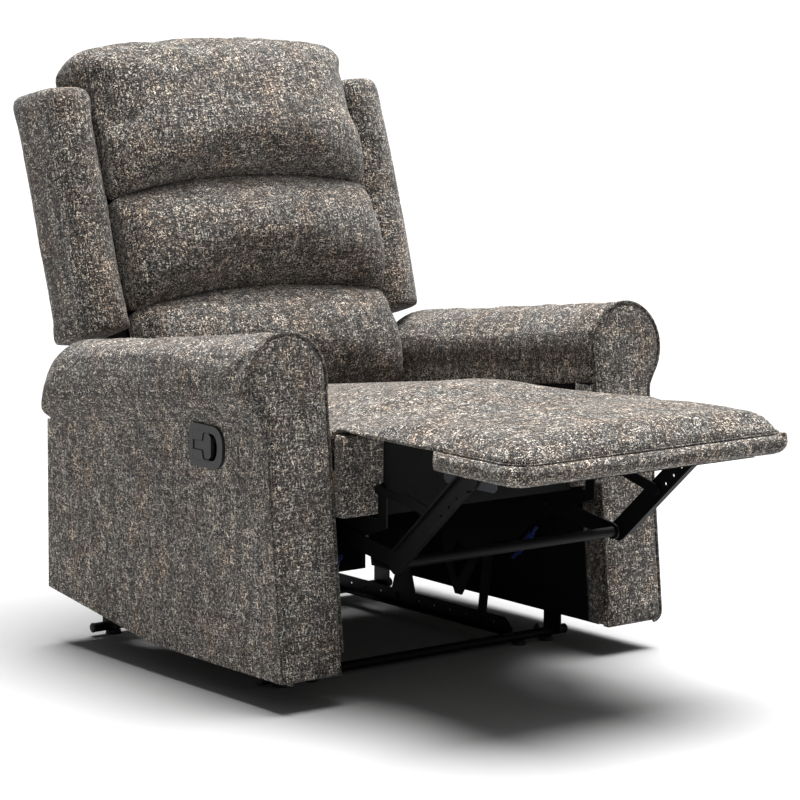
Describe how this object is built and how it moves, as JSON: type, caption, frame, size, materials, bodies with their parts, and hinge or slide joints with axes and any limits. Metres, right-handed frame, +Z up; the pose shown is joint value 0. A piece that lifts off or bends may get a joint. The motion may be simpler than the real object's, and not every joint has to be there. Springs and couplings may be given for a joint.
{
  "type": "recliner armchair",
  "caption": "Winged recliner armchair with tiered back cushions, rolled arms, a recessed release handle and a linkage-driven fold-out footrest.",
  "frame": {"origin": "middle of the footprint with the footrest out, on the floor", "axes": "+Z up; the chair faces -Y; +X is the sitter's left"},
  "size_m": [0.803, 1.18, 0.9584],
  "materials": {
    "tweed_fabric": "coarse matt tweed of grey, brown, cream and slate flecks",
    "black_lining": "thin matt black non-woven lining",
    "black_steel": "satin black powder coat",
    "zinc_steel": "dull zinc plate",
    "spring_steel": "oiled spring wire",
    "timber": "bare sawn softwood and plywood",
    "black_plastic": "fine-grained satin charcoal moulding",
    "blue_sleeve": "smooth blue plastic sleeve over a steel spring",
    "webbing": "flat elastic webbing"
  },
  "bodies": {
    "base": {"base_rail_left": "black_steel", "base_rail_right": "black_steel", "front_cross_tube": "black_steel", "rear_cross_tube": "black_steel", "foot_front_left": "black_plastic", "foot_front_right": "black_plastic", "foot_rear_left": "black_plastic", "foot_rear_right": "black_plastic", "arm_shell_left": "tweed_fabric", "arm_shell_right": "tweed_fabric", "arm_inner_panel_left": "black_lining", "arm_inner_panel_right": "black_lining", "arm_roll_left": "tweed_fabric", "arm_roll_right": "tweed_fabric", "handle_bezel": "black_plastic", "lever_pin": "zinc_steel", "release_cable": "black_plastic"},
    "lever": {"release_lever": "black_plastic"},
    "front_legs": {"front_leg_left": "black_steel", "front_leg_right": "black_steel"},
    "rear_legs": {"rear_leg_left": "black_steel", "rear_leg_right": "black_steel"},
    "seat": {"seat_plate_left": "black_steel", "seat_plate_right": "black_steel", "seat_side_rail_left": "timber", "seat_side_rail_right": "timber", "seat_front_rail": "tweed_fabric", "seat_rear_rail": "timber", "seat_spring_1": "spring_steel", "seat_spring_2": "spring_steel", "seat_spring_3": "spring_steel", "seat_cushion": "tweed_fabric", "tension_spring_left": "blue_sleeve", "tension_spring_right": "blue_sleeve"},
    "drive_arms": {"drive_arm_left": "black_steel", "drive_arm_right": "black_steel", "torque_tube": "black_steel"},
    "footrest": {"footrest_board": "timber", "footrest_pad": "tweed_fabric", "footrest_bracket_left": "zinc_steel", "footrest_bracket_right": "zinc_steel"},
    "main_links": {"main_link_left": "black_steel", "main_link_right": "black_steel"},
    "hook_links": {"hook_link_left": "black_steel", "hook_link_right": "black_steel"},
    "back": {"back_post_left": "timber", "back_post_right": "timber", "back_bracket_left": "black_steel", "back_bracket_right": "black_steel", "back_bottom_rail": "timber", "back_top_rail": "timber", "back_webbing_1": "webbing", "back_webbing_2": "webbing", "lumbar_cushion": "tweed_fabric", "middle_cushion": "tweed_fabric", "head_cushion": "tweed_fabric", "wing_left": "tweed_fabric", "wing_right": "tweed_fabric", "rear_cover": "tweed_fabric"}
  },
  "joints": [
    {"name": "handle_pull", "type": "hinge", "parent": "base", "child": "lever", "pos_m": [-0.3745, 0.005, 0.372], "axis": [0, 0, -1], "range_deg": [0, 28], "stiffness_Nm_per_rad": 0.3},
    {"name": "seat_glide", "type": "slide", "parent": "base", "child": "seat", "axis": [0, 1, 0], "range_m": [0, 0.03]},
    {"name": "back_recline", "type": "hinge", "parent": "seat", "child": "back", "pos_m": [0, 0.325, 0.32], "axis": [-1, 0, 0], "range_deg": [0, 20]},
    {"name": "footrest_fold", "type": "hinge", "parent": "seat", "child": "footrest", "pos_m": [0, -0.2925, 0.4325], "axis": [1, 0, 0], "range_deg": [0, 90]},
    {"name": "main_link_fold", "type": "hinge", "parent": "footrest", "child": "main_links", "pos_m": [0, -0.44, 0.368], "axis": [-1, 0, 0], "range_deg": [0, 110.6]},
    {"name": "drive_arm_swing", "type": "hinge", "parent": "seat", "child": "drive_arms", "pos_m": [0, -0.12, 0.24], "axis": [1, 0, 0], "range_deg": [0, 80.2]},
    {"name": "hook_link_swing", "type": "hinge", "parent": "seat", "child": "hook_links", "pos_m": [0, -0.223, 0.318], "axis": [1, 0, 0], "range_deg": [0, 99.7]},
    {"name": "front_leg_swing", "type": "hinge", "parent": "base", "child": "front_legs", "pos_m": [0, 0.015, 0.033], "axis": [-1, 0, 0], "range_deg": [0, 15.2]},
    {"name": "rear_leg_swing", "type": "hinge", "parent": "base", "child": "rear_legs", "pos_m": [0, 0.23, 0.033], "axis": [-1, 0, 0], "range_deg": [0, 15.2]}
  ],
  "couplings": [
    {"joint": "seat_glide", "follows": "footrest_fold", "m_per_rad": 0.019099},
    {"joint": "main_link_fold", "follows": "footrest_fold", "ratio": 1.2262},
    {"joint": "drive_arm_swing", "follows": "footrest_fold", "ratio": 0.88868},
    {"joint": "hook_link_swing", "follows": "footrest_fold", "ratio": 1.106},
    {"joint": "front_leg_swing", "follows": "footrest_fold", "ratio": 0.16622},
    {"joint": "rear_leg_swing", "follows": "footrest_fold", "ratio": 0.16622}
  ]
}
